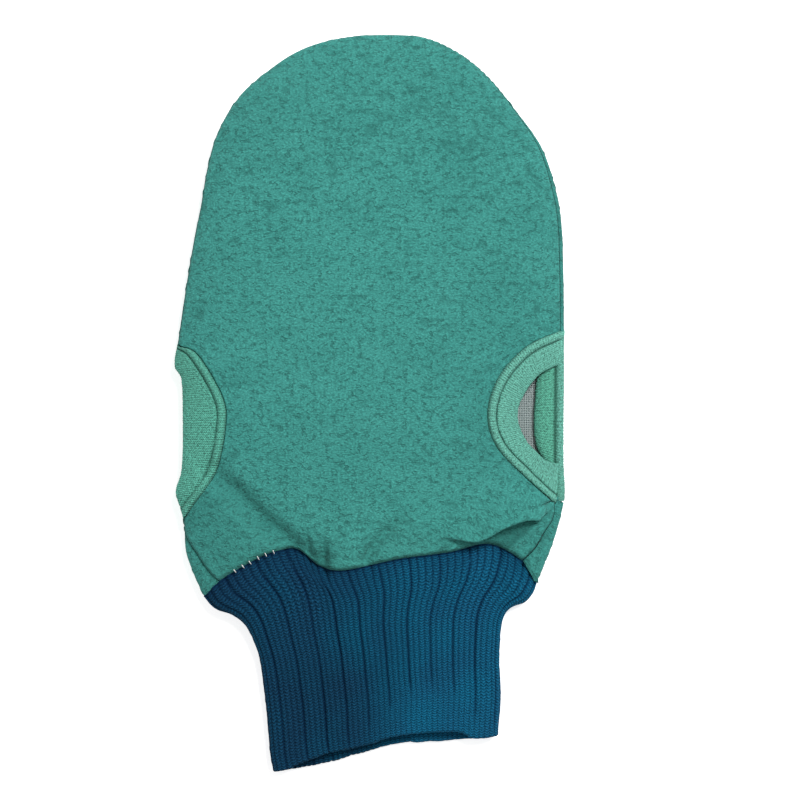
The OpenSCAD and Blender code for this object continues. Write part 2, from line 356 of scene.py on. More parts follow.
def grid_normals(points):
    du = np.gradient(points, axis=1)
    dv = np.gradient(points, axis=0)
    n = np.cross(du, dv)
    return n / np.maximum(1e-9, np.linalg.norm(n, axis=-1, keepdims=True))


def cloth_x(points):
    """Place of each point across the flat cloth: its length along its row, read from the middle."""
    mid = points.shape[1] // 2
    along = lengths(points)
    return along - along[:, mid : mid + 1] + points[:, mid : mid + 1, 0]


def crowded(n, angle):
    """n + 1 places from -1 to 1, closer together at the ends for a larger angle."""
    t = np.linspace(-1, 1, n + 1)
    return np.sin(t * angle) / math.sin(angle)


def tube_grid(path, radius, sides):
    """Grid of points round a path, with a radius for each path point."""
    ahead = np.gradient(path, axis=0)
    ahead /= np.maximum(1e-9, np.linalg.norm(ahead, axis=1, keepdims=True))
    up = np.array([0.0, 0.0, 1.0])
    side = np.cross(ahead, up)
    weak = np.linalg.norm(side, axis=1) < 0.05
    side[weak] = np.cross(ahead[weak], [1.0, 0.0, 0.0])
    side /= np.linalg.norm(side, axis=1, keepdims=True)
    top = np.cross(side, ahead)
    a = np.linspace(0, 2 * math.pi, sides + 1)
    ring = side[:, None, :] * np.cos(a)[None, :, None] + top[:, None, :] * np.sin(a)[None, :, None]
    return path[:, None, :] + ring * radius[:, None, None]


def tubes_object(name, runs, radius, sides, material):
    """One object of many short round-ended tubes, such as the stitches of a seam."""
    all_points, all_quads, all_uv = [], [], []
    start = 0
    for path in runs:
        n = len(path)
        t = np.linspace(-1, 1, n)
        grid = tube_grid(path, radius * np.maximum(0.12, fade(np.abs(t), 4)), sides)
        quads = grid_quads(n, sides + 1)
        length = np.linspace(0, np.linalg.norm(path[-1] - path[0]), n)
        cloth = np.stack(np.meshgrid(np.linspace(0, 1, sides + 1), length), axis=-1)
        all_uv.append(cloth.reshape(-1, 2)[quads].reshape(-1, 2))
        all_points.append(grid.reshape(-1, 3))
        all_quads.append(quads + start)
        start += grid.shape[0] * grid.shape[1]
    uvs = {"Cloth": np.vstack(all_uv)}
    return mesh_object(name, np.vstack(all_points), np.vstack(all_quads), uvs, material)


def stitches(path, stitch, gap, steps=6):
    """Cuts a path into stitches of one length with gaps between them."""
    length = np.linalg.norm(np.diff(path, axis=0), axis=1).sum()
    count = int(length / (stitch + gap))
    fine = even(path, count * steps * 4 + 1)
    share = stitch / (stitch + gap)
    runs = []
    for k in range(count):
        at = (k + 0.5 + np.linspace(-share / 2, share / 2, steps)) / count
        runs.append(point_at(fine, at).T)
    return runs


# ---- Materials ----
class Nodes:
    """Short names for the nodes and links of one material."""

    def __init__(self, name):
        self.material = bpy.data.materials.new(name)
        self.material.use_nodes = True
        self.tree = self.material.node_tree

    def add(self, kind, **settings):
        node = self.tree.nodes.new(kind)
        for key, value in settings.items():
            setattr(node, key, value)
        return node

    def put(self, value, socket):
        """Sets a number or a colour on a socket, or links a node's output to it."""
        if isinstance(value, tuple):
            socket.default_value = (*value, 1)
        elif isinstance(value, (int, float)):
            socket.default_value = value
        else:
            self.tree.links.new(value, socket)

    def math(self, operation, *values):
        node = self.add("ShaderNodeMath", operation=operation)
        for socket, value in zip(node.inputs, values):
            self.put(value, socket)
        return node.outputs[0]

    def uv(self, name):
        return self.add("ShaderNodeUVMap", uv_map=name).outputs[0]

    def split(self, vector):
        node = self.add("ShaderNodeSeparateXYZ")
        self.put(vector, node.inputs[0])
        return node.outputs[0], node.outputs[1]

    def scaled(self, vector, scale):
        node = self.add("ShaderNodeMapping")
        node.inputs["Scale"].default_value = scale
        self.put(vector, node.inputs["Vector"])
        return node.outputs[0]

    def noise(self, vector, scale, detail):
        node = self.add("ShaderNodeTexNoise")
        for name, value in (("Vector", vector), ("Scale", scale), ("Detail", detail)):
            self.put(value, node.inputs[name])
        return node.outputs["Fac"]

    def ramp(self, value, stops):
        node = self.add("ShaderNodeValToRGB")
        elements = node.color_ramp.elements
        while len(elements) < len(stops):
            elements.new(0.5)
        for element, (place, colour) in zip(elements, stops):
            element.position = place
            element.color = (*colour, 1)
        self.put(value, node.inputs[0])
        return node.outputs[0]

    def mix(self, factor, a, b, blend="MIX"):
        node = self.add("ShaderNodeMix", data_type="RGBA", blend_type=blend)
        # The factor's socket, and the two of the colours
        for at, value in ((0, factor), (6, a), (7, b)):
            self.put(value, node.inputs[at])
        return node.outputs[2]

    def plus(self, a, b):
        return self.math("ADD", a, b)

    def times(self, a, b):
        return self.math("MULTIPLY", a, b)

    def wave(self, phase):
        return self.math("SINE", phase)

    def unit(self, value):
        """Brings -1 to 1 to 0 to 1: the node's own third value is 0.5."""
        return self.math("MULTIPLY_ADD", value, 0.5)

    def from_middle(self, value):
        """Distance of a 0 to 1 value from 0.5."""
        return self.math("ABSOLUTE", self.math("SUBTRACT", value, 0.5))

    def long_noise(self, vector, across, along, detail):
        """Noise with its own frequency across and along the cloth."""
        return self.noise(self.scaled(vector, (across, along, 1)), 1.0, detail)

    def greys(self, value, *stops):
        return self.ramp(value, [(place, (grey,) * 3) for place, grey in stops])

    def shades(self, value, colour, *stops):
        return self.ramp(value, [(place, scaled_colour(colour, k)) for place, k in stops])

    def stained(self, colour, stain):
        return self.mix(1.0, colour, stain, "MULTIPLY")

    def bump(self, height, depth):
        """depth is in millimetres."""
        node = self.add("ShaderNodeBump")
        for name, value in (("Strength", 1.0), ("Distance", depth * MM), ("Height", height)):
            self.put(value, node.inputs[name])
        return node.outputs[0]

    def shaded(self, values):
        """The material, with these values on its shader."""
        shader = self.tree.nodes["Principled BSDF"]
        for name, value in values.items():
            self.put(value, shader.inputs[name])
        return self.material

    def finish(self, colour, normal, roughness=0.92, sheen=0.12, tint=(0.4, 0.7, 0.65), shine=0.1):
        return self.shaded({
            "Base Color": colour,
            "Normal": normal,
            "Roughness": roughness,
            "Specular IOR Level": shine,
            "Sheen Weight": sheen,
            "Sheen Roughness": 0.5,
            "Sheen Tint": tint,
        })


def scaled_colour(colour, k):
    return tuple(min(1.0, c * k) for c in colour)


CREPE = (0.0425, 0.236, 0.206)
CREPE_SHADE = (0.55, 0.60, 0.60)
RIGHT_KNIT = (0.110, 0.345, 0.272)
# Painted shade: the binding knit made darker for the strip that lies deep in the right thumb hole
INNER_KNIT_IN_SHADE = (0.078, 0.300, 0.215)
LEFT_KNIT = (0.083, 0.322, 0.245)
RIB_BLUE = (0.004, 0.066, 0.128)
RIB_DARK = (0.004, 0.032, 0.068)
RIB_GROOVE_SHADE = (0.001, 0.010, 0.035)
MESH_THREAD = (0.39, 0.46, 0.45)
MESH_GAP = (0.07, 0.13, 0.125)
SEAM_GREEN = (0.022, 0.135, 0.115)
SEAM_WHITE = (0.92, 0.93, 0.90)


def crepe_material(name, colour):
    """Felted crepe: fibre speckle, curls and darker dashes and furrows. Tone is (furrow, shade), where
    furrow also darkens seam lines and holds painted shade in the recess under the fold, and shade is painted
    shade.
    """
    m = Nodes(name)
    cloth = m.uv("Cloth")
    # The furrow channel holds furrows, seam lines and painted shade in the recess under the fold
    furrow, shade = m.split(m.uv("Tone"))
    blotch = m.long_noise(cloth, 0.05, 0.08, 2.0)
    weave = m.long_noise(cloth, 0.9, 2.6, 2.0)
    # Dashes follow the middle line of a winding noise, where a second noise lets them show
    line = m.greys(m.from_middle(m.long_noise(cloth, 0.42, 0.80, 1.5)), (0.01, 1), (0.07, 0))
    dash = m.times(line, m.greys(m.long_noise(cloth, 0.40, 0.55, 0.0), (0.52, 0), (0.60, 1)))
    curl = m.greys(m.from_middle(m.long_noise(cloth, 0.75, 0.95, 1.0)), (0.0, 1), (0.06, 0))
    fibre = m.plus(m.noise(cloth, 1.15, 4.0), m.times(curl, -0.10))
    speckle = m.shades(fibre, colour, (0.26, 0.66), (0.47, 1.02), (0.68, 1.3))
    shaded = m.stained(speckle, m.ramp(shade, [(0.0, (1, 1, 1)), (1.0, CREPE_SHADE)]))
    streaked = m.mix(m.greys(weave, (0.38, 1), (0.52, 0)), shaded, scaled_colour(colour, 0.72))
    furrow = m.math("MAXIMUM", m.times(furrow, 0.5), m.times(dash, 0.62))
    dark = m.mix(furrow, streaked, scaled_colour(colour, 0.4))
    tint = m.ramp(blotch, [(0.35, (0.93, 0.95, 0.95)), (0.65, (1.06, 1.04, 1.04))])
    height = m.plus(m.times(fibre, 0.7), m.times(weave, 0.4))
    height = m.math("SUBTRACT", height, m.times(dash, 0.35))
    return m.finish(m.stained(dark, tint), m.bump(height, 0.5))


def knit_edge_material(name, colour, rib_pitch, rib_depth):
    """Knitted tape. Cloth is (across, along) the tape, and the ribs run across it. Tone is (dark
    line, light), where light goes to the colour of the right binding."""
    m = Nodes(name)
    cloth = m.uv("Cloth")
    u, v = m.split(cloth)
    line, light = m.split(m.uv("Tone"))
    wobble = m.times(m.noise(cloth, 0.5, 2.0), 3.0)
    phase = m.plus(m.times(v, 2 * math.pi / rib_pitch), wobble)
    rib = m.wave(phase)
    stitch = m.wave(m.plus(m.times(u, 2 * math.pi / 0.8), phase))
    fibre = m.noise(cloth, 1.25, 3.0)
    base = m.mix(light, colour, scaled_colour(RIGHT_KNIT, 0.9))
    speckled = m.stained(base, m.greys(fibre, (0.3, 0.46), (0.47, 0.95), (0.68, 1.36)))
    ribbed = m.stained(speckled, m.greys(m.unit(rib), (0.0, 0.9), (0.6, 1.04)))
    looped = m.stained(ribbed, m.greys(m.unit(stitch), (0.0, 0.78), (0.7, 1.08)))
    dark = m.mix(line, looped, scaled_colour(colour, 0.25))
    knit = m.plus(m.times(rib, rib_depth), m.times(stitch, rib_depth * 0.5))
    return m.finish(dark, m.bump(m.plus(knit, m.times(fibre, 0.9)), 0.42))


COURSE = 1.0


def rib_material():
    """Rib knit. Cloth is (wale number, millimetres along); each wale is a row of V stitches. Tone is
    (groove, shade): groove is painted shade in the grooves and along the join, and shade goes from the
    dark left side to the bright right side."""
    m = Nodes("rib_knit")
    cloth = m.uv("Cloth")
    u, v = m.split(cloth)
    groove, shade = m.split(m.uv("Tone"))
    leg = m.from_middle(m.math("FRACT", u))
    stitch = m.wave(m.plus(m.times(v, 2 * math.pi / COURSE), m.times(leg, 7.5)))
    blotch = m.long_noise(cloth, 0.12, 0.05, 1.0)
    fibre = m.noise(m.scaled(cloth, (2.1, 1.0, 1)), 2.2, 4.0)
    mid, bright = scaled_colour(RIB_BLUE, 0.82), scaled_colour(RIB_BLUE, 1.12)
    base = m.ramp(shade, [(0.0, RIB_DARK), (0.55, mid), (1.0, bright)])
    loops = m.greys(m.unit(stitch), (0.05, 0.60), (0.75, 1.27))
    loops = m.stained(loops, m.greys(leg, (0.26, 1.06), (0.46, 0.74)))
    speckled = m.stained(m.stained(base, loops), m.greys(fibre, (0.3, 0.34), (0.7, 1.66)))
    mottled = m.stained(speckled, m.ramp(blotch, [(0.35, (1.1, 0.88, 0.9)), (0.65, (0.9, 1.08, 1.04))]))
    # Painted shade in the grooves between the wales and along the join
    dark = m.mix(m.times(groove, 0.8), mottled, RIB_GROOVE_SHADE)
    height = m.plus(m.times(stitch, 0.25), m.times(fibre, 0.7))
    return m.finish(dark, m.bump(height, 0.3), 0.95, 0.04, (0.1, 0.4, 0.6), 0.05)


def lining_material():
    """Open woven mesh: pale threads each way over darker gaps."""
    m = Nodes("mesh_lining")
    cloth = m.uv("Cloth")
    pitch = 0.68
    threads = [m.math("COSINE", m.times(value, 2 * math.pi / pitch)) for value in m.split(cloth)]
    most = m.math("MAXIMUM", *threads)
    colour = m.ramp(m.unit(most), [(0.35, MESH_GAP), (0.8, MESH_THREAD)])
    stain = m.ramp(m.noise(cloth, 2.0, 2.0), [(0.3, (0.8, 0.8, 0.8)), (0.7, (1.15, 1.12, 1.14))])
    return m.finish(m.stained(colour, stain), m.bump(most, 0.2), 0.8, 0.1)


def thread_material(name, colour):
    """Twisted sewing thread. Cloth is (turn, millimetres along)."""
    m = Nodes(name)
    u, v = m.split(m.uv("Cloth"))
    twist = m.wave(m.plus(m.times(u, 4 * math.pi), m.times(v, 11.0)))
    return m.finish(m.shades(m.unit(twist), colour, (0.1, 0.6), (0.8, 1.1)), m.bump(twist, 0.05), 0.7, 0.15)


front_crepe = crepe_material("front_crepe", CREPE)
back_crepe = crepe_material("back_crepe", scaled_colour(CREPE, 0.94))
right_knit = knit_edge_material("right_knit_edge", RIGHT_KNIT, 1.05, 0.22)
shaded_inner_knit = knit_edge_material("shaded_inner_knit_edge", INNER_KNIT_IN_SHADE, 1.0, 0.16)
left_knit = knit_edge_material("left_knit_edge", LEFT_KNIT, 0.95, 0.26)
rib_knit = rib_material()
lining_mesh = lining_material()
green_thread = thread_material("green_thread", SEAM_GREEN)
white_thread = thread_material("white_thread", SEAM_WHITE)


def bend_with_cuff(obj):
    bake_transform(obj)


# ---- Front panel ----
PANEL_COLS = 264
PANEL_ROWS = 330
SEAM_IN = 1.5
LEFT_SEAM_IN = 0.15
# Distances from the outer curves of the welts to the panel's edge, towards its middle
LEFT_WELT_GAP, RIGHT_WELT_GAP = 0.5, 0.4


def front_left_limit(y):
    """Left edge of the front panel: seam near the cuff, binding, then the outline."""
    x = left_x(y) + LEFT_SEAM_IN
    welt = y_to_x(LEFT_WELT)(y) + LEFT_WELT_GAP
    in_hole = (y > LEFT_WELT[-1, 1]) & (y < LEFT_WELT[0, 1])
    x = np.where(in_hole, np.maximum(x, welt), x)
    return np.where(y < LEFT_SEAM[0, 1], left_seam_x(y), x)


def front_right_limit(y):
    x = right_x(y) - SEAM_IN * smooth((TIP_Y - y) / 60)
    welt = y_to_x(RIGHT_WELT)(y) - RIGHT_WELT_GAP
    in_hole = (y > RIGHT_WELT[-1, 1]) & (y < RIGHT_WELT[0, 1])
    x = np.where(in_hole, np.minimum(x, welt), x)
    return np.where(y < RIGHT_SEAM[0, 1], right_seam_x(y), x)


def row_places(n):
    """n + 1 places from 0, at the cuff, to 1, at the fingertip end, closer at both ends."""
    t = np.linspace(0, 1, n + 1)
    pace = 1 - 0.45 * np.exp(-t / 0.12) - 0.9 * smooth((t - 0.84) / 0.16)
    total = np.concatenate([[0], np.cumsum((pace[1:] + pace[:-1]) / 2)])
    return total / total[-1]


# The fold over the cuff: how far it laps back, the cloth that its turn takes, and its height
OVERLAP = 3.0
TURN = 4.5
FOLD_H = 3.6
# The recess under the fold, with a ridge of which one side is lit
RECESS_DEPTH, LIT_RISE = 2.4, 1.2
RIDGE_H, RIDGE_W = 1.4, 2.0


def beyond_ridge(x, y):
    """1 on the lit side of the ridge in the recess under the fold, 0 on its dark side."""
    low, high = RECESS_RIDGE[0], RECESS_RIDGE[-1]
    slope = (high[1] - low[1]) / (high[0] - low[0])
    return smooth(0.5 + (slope * (x - low[0]) - (y - low[1])) / 3)


def front_panel_points():
    g = row_places(PANEL_ROWS)[:, None]
    u = crowded(PANEL_COLS, math.radians(58))[None, :]
    a = (u + 1) / 2
    low_x = lerp(LEFT_SEAM[-1, 0], RIGHT_SEAM[-1, 0], a)
    low_y = front_join_y(low_x)
    cloth_y = lerp(low_y, TIP_Y, g)
    x = lerp(front_left_limit(cloth_y[:, :1]), front_right_limit(cloth_y[:, -1:]), a)
    # The fold over the cuff: cloth climbs, turns back over itself and hangs past its own root
    start = overhang_y(x) - low_y + OVERLAP
    strength = smooth((x - 24) / 20) * smooth((70.5 - x) / 6)
    climbed = cloth_y - low_y - start
    turned = smooth(climbed / TURN)
    y = cloth_y - strength * (OVERLAP + TURN) * turned * np.exp(-(np.maximum(0, climbed) / 10) ** 2)
    x = lerp(front_left_limit(y[:, :1]), front_right_limit(y[:, -1:]), a)
    z = front_z(x, cloth_y) + creases(x, cloth_y)
    under = strength * smooth((TURN - climbed) / 3)
    z = z + FOLD_H * strength * turned * np.exp(-(climbed / 16) ** 2)
    ridge, _ = distance(x, y, RECESS_RIDGE)
    z = z + (RIDGE_H * gauss(ridge, RIDGE_W) + LIT_RISE * beyond_ridge(x, y) - RECESS_DEPTH) * under
    return x, y, z, cloth_y


PANEL_FURROW, PANEL_LUMP = 0.42, 0.13
RIM_W = 2.5
# How far the panel's outer columns and its lowest rows turn down
RIM_DROPS = np.array([1.6, 0.35])
LIP_DROPS = np.array([2.4, 1.3, 0.6, 0.2])
PILLOW_SHADE, VALLEY_SHADE, SOFT_SHADE, PUCKER_SHADE = 0.8, 1.0, 0.6, 1.3
RIGHT_AND_TIP_SHADE = 0.35
RECESS_SHADE = 2.0
FULL_SHADE = 2
SEAM_DARK, SEAM_LINE_W = 0.9, 0.7


def front_tone(x, y, furrow):
    """(dark, shade) of each point: furrows and seam are dark, painted shade darkens the recess under the
    fold, and painted shade lies on the folds, the right side and the fingertip end.
    """
    pillow = smooth(below_pillow_line(x, y) / 6) * smooth((-22 - x) / 12)
    valley, _ = distance(x, y, LEFT_VALLEY)
    soft, soft_along = distance(x, y, SOFT_VALLEY)
    pucker = gauss(np.hypot((x + 18) / 5, (y + 61) / 6), 1.0)
    shade = PILLOW_SHADE * pillow + VALLEY_SHADE * gauss(valley, 3.4)
    shade = shade + SOFT_SHADE * gauss(soft, SOFT_W) * (1 - soft_along) + PUCKER_SHADE * pucker
    # Painted shade that darkens the right side and the fingertip end, where the key light falls more
    # strongly
    shade = shade + RIGHT_AND_TIP_SHADE * smooth((x - 5) / 55) + RIGHT_AND_TIP_SHADE * smooth((y - 90) / 40)
    under = smooth((overhang_y(x) - 0.6 - y) / 1.2) * smooth((x - 30) / 10) * smooth((70 - x) / 5)
    dark_side = 1 - beyond_ridge(x, y)
    shade = clamp((shade + RECESS_SHADE * under * dark_side) / FULL_SHADE)
    ridge, _ = distance(x, y, RECESS_RIDGE)
    # Painted shade in the recess under the fold, on the ridge's dark side and along the ridge
    recess = under * np.maximum(0.6 * dark_side, 0.7 * gauss(ridge, 0.7))
    to_seam = np.minimum(x - x[:, :1], x[:, -1:] - x)
    seam = SEAM_DARK * gauss(to_seam, SEAM_LINE_W) * smooth((-40 - y) / 5)
    return together(np.maximum(furrow, np.maximum(recess, seam)), shade)


def front_panel():
    """Makes the panel, and gives x and z of its lowest row for the cuff to fit."""
    x, y, z, cloth_y = front_panel_points()
    density = 0.2 + 0.4 * smooth((cloth_y - 50) / 60) + 0.15 * smooth((x - 10) / 50)
    density = density + 0.2 * smooth((-20 - cloth_y) / 30) - 0.45
    across_cloth = cloth_x(together(x, y, front_z(x, y)))
    furrow = furrows(across_cloth, cloth_y, density)
    from_left = x - front_left_limit(cloth_y[:, :1])
    from_right = front_right_limit(cloth_y[:, -1:]) - x
    rim = smooth(from_left / RIM_W) * smooth(from_right / RIM_W)
    z = z - PANEL_FURROW * furrow * rim + PANEL_LUMP * lumps(across_cloth, cloth_y) * rim
    points = together(x, y, z)
    points[:, :2, 2] -= RIM_DROPS
    points[:, -2:, 2] -= RIM_DROPS[::-1]
    points[:4, :, 2] -= LIP_DROPS[:, None]
    cloth = together(across_cloth, cloth_y)
    obj = grid_object("crepe_front_panel", points, front_crepe, cloth, front_tone(x, y, furrow))
    bend_with_cuff(obj)
    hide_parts("front_panel")
    return x[0], z[0]


# ---- Back panel ----
BACK_ROWS = 250
BACK_COLS = 250
BACK_LIFT = 0.5
CUFF_SIDE_X = 64.4
RIGHT_LOW_Y = -69.0
LEFT_LOW_Y = -74.5
SEAM_CATCH_L = 14.0
WRAP_OVERLAP = 1.5
WRAP_STEPS = 16
WRAP_COLS = 14
BESIDE_COLS = 44
MIDDLE_COLS = BACK_COLS - 2 * (WRAP_COLS + BESIDE_COLS)
SEAM_SINK = 0.7
HOLE_MARGIN = 0.4
SIDE_RIM_X = 75.4
BACK_FURROW, BACK_LUMP = 0.3, 0.06
BACK_LIP_DROPS = np.array([0.9, 0.4, 0.1])
BACK_SHADE, SIDE_SHADE = 0.15, 0.45


def node_half_moon(name, side):
    """Outer curve of a back binding, y to x: a half ellipse as large as its CAD solid."""
    low, high = node_box(name)
    mid, half = (low[1] + high[1]) / 2, (high[1] - low[1]) / 2 + 0.8
    inner = low[0] if side > 0 else high[0]
    rim = SIDE_RIM_X * side
    return lambda y: rim + (inner - rim) * fade(np.abs((y - mid) / half), 2), mid, half


right_back_x, RIGHT_BACK_MID, RIGHT_BACK_HALF = node_half_moon("right_back_binding", 1)
left_back_x, LEFT_BACK_MID, LEFT_BACK_HALF = node_half_moon("left_back_binding", -1)


def back_join_y(x):
    x = np.asarray(x)
    low = np.where(x > 0, RIGHT_LOW_Y, LEFT_LOW_Y)
    return lerp(JOIN_Y - 2, low, np.abs(x / CUFF_SIDE_X) ** 4)


def right_hole_x(y):
    return right_x(y) - SEAM_IN - 1.5 * smooth((-20 - y) / 18)


def left_hole_x(y):
    return left_x(y) + 0.3


def wrap(g, low_y, side_x, seam, welt, limit_x, hole_x):
    """Quarter turn from the seam on the front to the side, at fraction g from the cuff up. The seam
    follows limit_x, or hole_x beside the thumb hole."""
    side_y = lerp(low_y, TIP_Y, g)
    seam_y = min(side_y + (seam[-1, 1] - low_y) * math.exp((low_y - side_y) / SEAM_CATCH_L), TIP_Y)
    in_hole = welt[-1, 1] < seam_y < welt[0, 1]
    seam_x = float(hole_x(seam_y) if in_hole else limit_x(np.array(seam_y)))
    seam_z = float(front_z(seam_x, seam_y)) - SEAM_SINK
    turn = np.linspace(0, math.pi / 2, WRAP_STEPS)
    x = lerp(seam_x, float(side_x(side_y)), np.sin(turn))
    y = lerp(seam_y, side_y, np.sin(turn))
    return together(x, y, lerp(BACK_BASE, seam_z, np.cos(turn)))


def back_section(g):
    """One line round the back from seam to seam: its right wrap, underside and left wrap."""
    right = wrap(g, RIGHT_LOW_Y, right_x, RIGHT_SEAM, RIGHT_WELT, front_right_limit, right_hole_x)
    left = wrap(g, LEFT_LOW_Y, left_x, LEFT_SEAM, LEFT_WELT, front_left_limit, left_hole_x)
    part = ((crowded(260, math.radians(75)) + 1) / 2)[1:-1]
    sides = float(right_x(lerp(RIGHT_LOW_Y, TIP_Y, g))), float(left_x(lerp(LEFT_LOW_Y, TIP_Y, g)))
    x = lerp(*sides, part)
    y = lerp(back_join_y(lerp(CUFF_SIDE_X, -CUFF_SIDE_X, part)), TIP_Y, g)
    z = back_z(x, y)
    bottom = together(x, y, z + BACK_LIFT * smooth((BACK_BASE - z) / 2))
    return right, bottom, left[::-1]


def back_row(g):
    """A row of the back panel's columns. Beside a thumb hole it stops at the hole, without a wrap."""
    right, bottom, left = back_section(g)
    x, y = bottom[:, 0], bottom[:, 1]
    clear_right = (np.abs(y - RIGHT_BACK_MID) >= RIGHT_BACK_HALF) | (x < right_back_x(y) - HOLE_MARGIN)
    clear_left = (np.abs(y - LEFT_BACK_MID) >= LEFT_BACK_HALF) | (x > left_back_x(y) + HOLE_MARGIN)
    bottom = bottom[clear_right & clear_left]
    first, start = bottom[:2], 1
    if abs(y[0] - RIGHT_BACK_MID) > RIGHT_BACK_HALF - WRAP_OVERLAP:
        first, start = np.vstack([right, bottom[:1]]), 0
    last, stop = bottom[-2:], len(bottom) - 1
    if abs(y[-1] - LEFT_BACK_MID) > LEFT_BACK_HALF - WRAP_OVERLAP:
        last, stop = np.vstack([bottom[-1:], left]), len(bottom)
    # The middle columns stay in line from row to row, and only those beside a hole close up
    centre = (x[0] + x[-1]) / 2
    right_share = int(np.searchsorted(-bottom[:, 0], -lerp(centre, x[0], 0.62)))
    left_share = int(np.searchsorted(-bottom[:, 0], -lerp(centre, x[-1], 0.50)))
    right_share = min(max(right_share, 2), len(bottom) - 6)
    left_share = min(max(left_share, right_share + 2), len(bottom) - 3)
    return np.vstack([
        even(first, WRAP_COLS + 1)[:-1],
        even(bottom[start : right_share + 1], BESIDE_COLS + 1)[:-1],
        even(bottom[right_share : left_share + 1], MIDDLE_COLS + 1)[:-1],
        even(bottom[left_share:stop], BESIDE_COLS + 1),
        even(last, WRAP_COLS + 1)[1:],
    ])


def back_panel():
    points = np.stack([back_row(g) for g in row_places(BACK_ROWS)])
    points[-1] = points[-2]
    points[-1, :, 1] += 0.02
    x, y = points[:, :, 0], points[:, :, 1]
    normals = grid_normals(points)
    outward = np.where(normals[:, :, 2:3] * (points[:, :, 2:3] - HINGE_Z) < 0, -1.0, 1.0)
    # 200 mm away from the front panel's cloth, so that the two differ
    across_cloth = cloth_x(points) + 200
    cloth_y = np.broadcast_to(y[:, BACK_COLS // 2][:, None], y.shape)
    furrow = furrows(across_cloth, cloth_y, 0.1 + 0.2 * smooth((y - 60) / 60))
    relief = BACK_LUMP * lumps(across_cloth, cloth_y) - BACK_FURROW * furrow
    relief[:3] -= BACK_LIP_DROPS[:, None]
    points = points + normals * outward * relief[:, :, None]
    points[:, :, 2] = np.maximum(points[:, :, 2], 0.05)
    above_hole = smooth((y - RIGHT_WELT[0, 1]) / 4)
    shade = BACK_SHADE + SIDE_SHADE * smooth((x - right_x(y) + 3) / 2) * above_hole
    to_seam = np.minimum(across_cloth - across_cloth[:, :1], across_cloth[:, -1:] - across_cloth)
    seam = SEAM_DARK * gauss(to_seam, SEAM_LINE_W) * smooth((-42 - y) / 4)
    tone = together(np.maximum(furrow, seam), shade)
    cloth = together(across_cloth, cloth_y)
    obj = grid_object("crepe_back_panel", points, back_crepe, cloth, tone)
    bend_with_cuff(obj)
    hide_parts("back_panel")


# ---- Bindings ----
BINDING_ROWS = 190
SECTION_POINTS = 64
GROOVE_DARK, GROOVE_W = 0.9, 0.4
# Share of the left bindings' dark groove that comes and goes
LEFT_PATCHY = 0.35
RIPPLE_PITCH = 1.05
RIPPLE_H, FIBRE_H = 0.10, 0.08
# Distance in from the outer curve and height over the cloth: tucked rim, welt, groove
WELT_PROFILE = [
    (-0.6, -1.3), (-0.25, -0.3), (0.15, 0.65), (0.7, 1.15), (1.35, 1.35), (2.0, 1.2), (2.5, 0.7),
    (2.75, 0.0), (2.95, -0.5),
]
# Distance back from the inner edge and height: the edge rolls under
ROLLED_EDGE = [(-0.3, 0.2), (0, -0.4), (-0.2, -1.1), (-1.2, -1.5), (-3.5, -1.6)]
FACING_H = 0.35
# The ends of a flat binding droop over the side
END_ROWS = 7
END_DROP = 1.7
END_OUT = 0.5
# Heights of a welt on the underside, as a share of one on the front
UNDER_SHARE = 0.4


def groove_place(height_share):
    """Length along the section from the tucked rim to the groove beside the welt."""
    steps = np.diff(np.array(WELT_PROFILE) * [1, height_share], axis=0)
    return float(np.hypot(steps[:, 0], steps[:, 1]).sum())


def front_surface(x, y):
    return front_z(x, y) + creases(x, y)


def under_surface(x, y):
    return back_z(x, y) + BACK_LIFT


def binding_object(place, rows, material, share, flip, mark=None):
    """One thumb hole's binding on one face, from section lines, one for each place along it. share is
    the height share of its welt. mark gives (dark line, light) of each point."""
    points = np.stack([even(row, SECTION_POINTS) for row in rows])
    u = lengths(points)
    length = np.linalg.norm(np.diff(points[:, 8], axis=0), axis=1).sum()
    v = np.linspace(0, 1, len(rows))[:, None] * length
    cloth = together(u, np.broadcast_to(v, u.shape))
    patchy = LEFT_PATCHY if material is left_knit else 0.0
    dark = GROOVE_DARK - patchy + patchy * noise(v / 5, u / 9, 33)
    dark = dark * gauss(u - groove_place(share), GROOVE_W)
    light = np.zeros(u.shape)
    if mark is not None:
        line, light = mark(points)
        dark = np.maximum(dark, line)
    ripple = RIPPLE_H * np.sin(2 * math.pi * v / RIPPLE_PITCH + 1.5 * noise(u / 3, v / 4, 31))
    normals = grid_normals(points) * (-1 if flip else 1)
    points = points + normals * (ripple + FIBRE_H * noise(u / 0.9, v / 0.9, 32))[:, :, None]
    points[:, :, 2] = np.maximum(points[:, :, 2], 0.02)
    tone = together(dark, light)
    obj = grid_object(f"{place}_thumb_binding", points, material, cloth, tone, flip=flip)
    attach(obj, "mitt")
    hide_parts(f"{place}_binding")


def flat_binding_rows(outer, inner, surface, sign):
    """Sections of a binding that lies on one face: welt, groove, facing and rolled inner edge."""
    outer, inner = even(outer, BINDING_ROWS), even(inner, BINDING_ROWS)
    rows = []
    for k, (o, i) in enumerate(zip(outer, inner)):
        end = max(0.0, 1 - min(k, BINDING_ROWS - 1 - k) / END_ROWS) ** 2
        width = max(4.0, float(np.hypot(*(i - o))))
        across_it = (i - o) / np.hypot(*(i - o))
        profile = WELT_PROFILE + [(3.2, 0.0), (3.7, FACING_H)]
        profile += [(w, FACING_H) for w in np.linspace(5.5, width - 1.0, 6)]
        profile += [(width + w, h) for w, h in ROLLED_EDGE]
        line = []
        for w, h in profile:
            x, y = o + across_it * w
            z = float(surface(x, y)) + sign * (h - END_DROP * end)
            line.append((x + math.copysign(END_OUT, x) * end, y, z))
        rows.append(np.array(line))
    return rows


